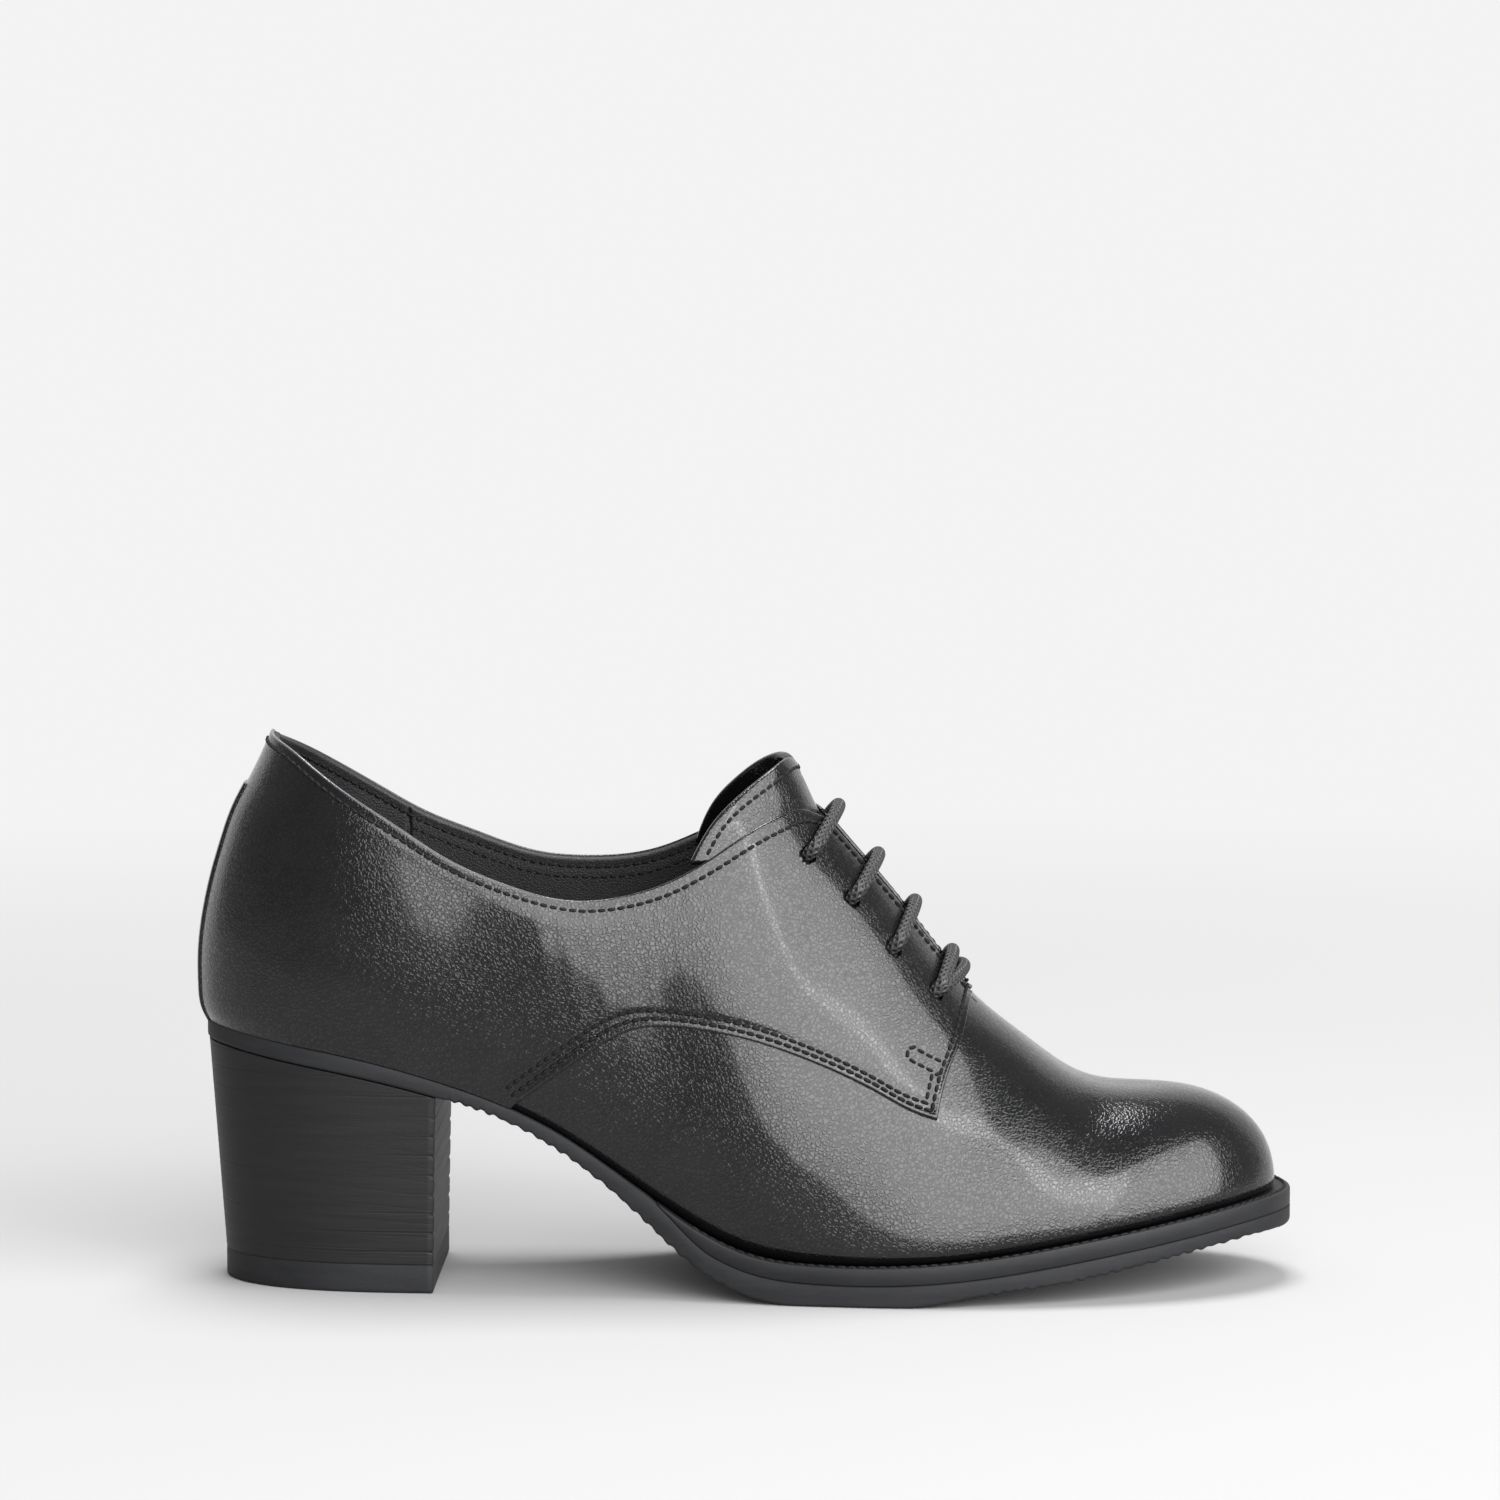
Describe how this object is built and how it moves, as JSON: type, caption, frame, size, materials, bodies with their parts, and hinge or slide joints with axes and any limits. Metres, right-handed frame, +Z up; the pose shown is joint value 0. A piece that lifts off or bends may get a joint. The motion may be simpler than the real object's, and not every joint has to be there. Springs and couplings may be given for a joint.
{
  "type": "heeled derby shoe",
  "caption": "Black leather derby shoe for a right foot, laced over a tongue, with a block heel and a ledged sole.",
  "frame": {"origin": "middle of the heel's flat rest face, on the floor", "axes": "+X points to the toe, +Y to the inner side of the foot, +Z up"},
  "size_m": [0.2478, 0.0853, 0.1242],
  "materials": {
    "upper": "smooth black leather with a fine grain and a soft gloss",
    "tongue": "smooth black leather",
    "lace": "round waxed black braid",
    "insole": "black leather lining, matt",
    "midsole": "blacked leather sole edge, satin",
    "outsole": "dark grey rubber, matt",
    "heel_block": "blacked stacked leather heel, satin",
    "top_lift": "black rubber, matt"
  },
  "bodies": {
    "root": {"outsole": "outsole", "midsole": "midsole", "insole": "insole", "heel_block": "heel_block", "top_lift": "top_lift", "upper": "upper", "tongue": "tongue", "lace_1": "lace", "lace_2": "lace", "lace_3": "lace", "lace_4": "lace"}
  },
  "joints": []
}
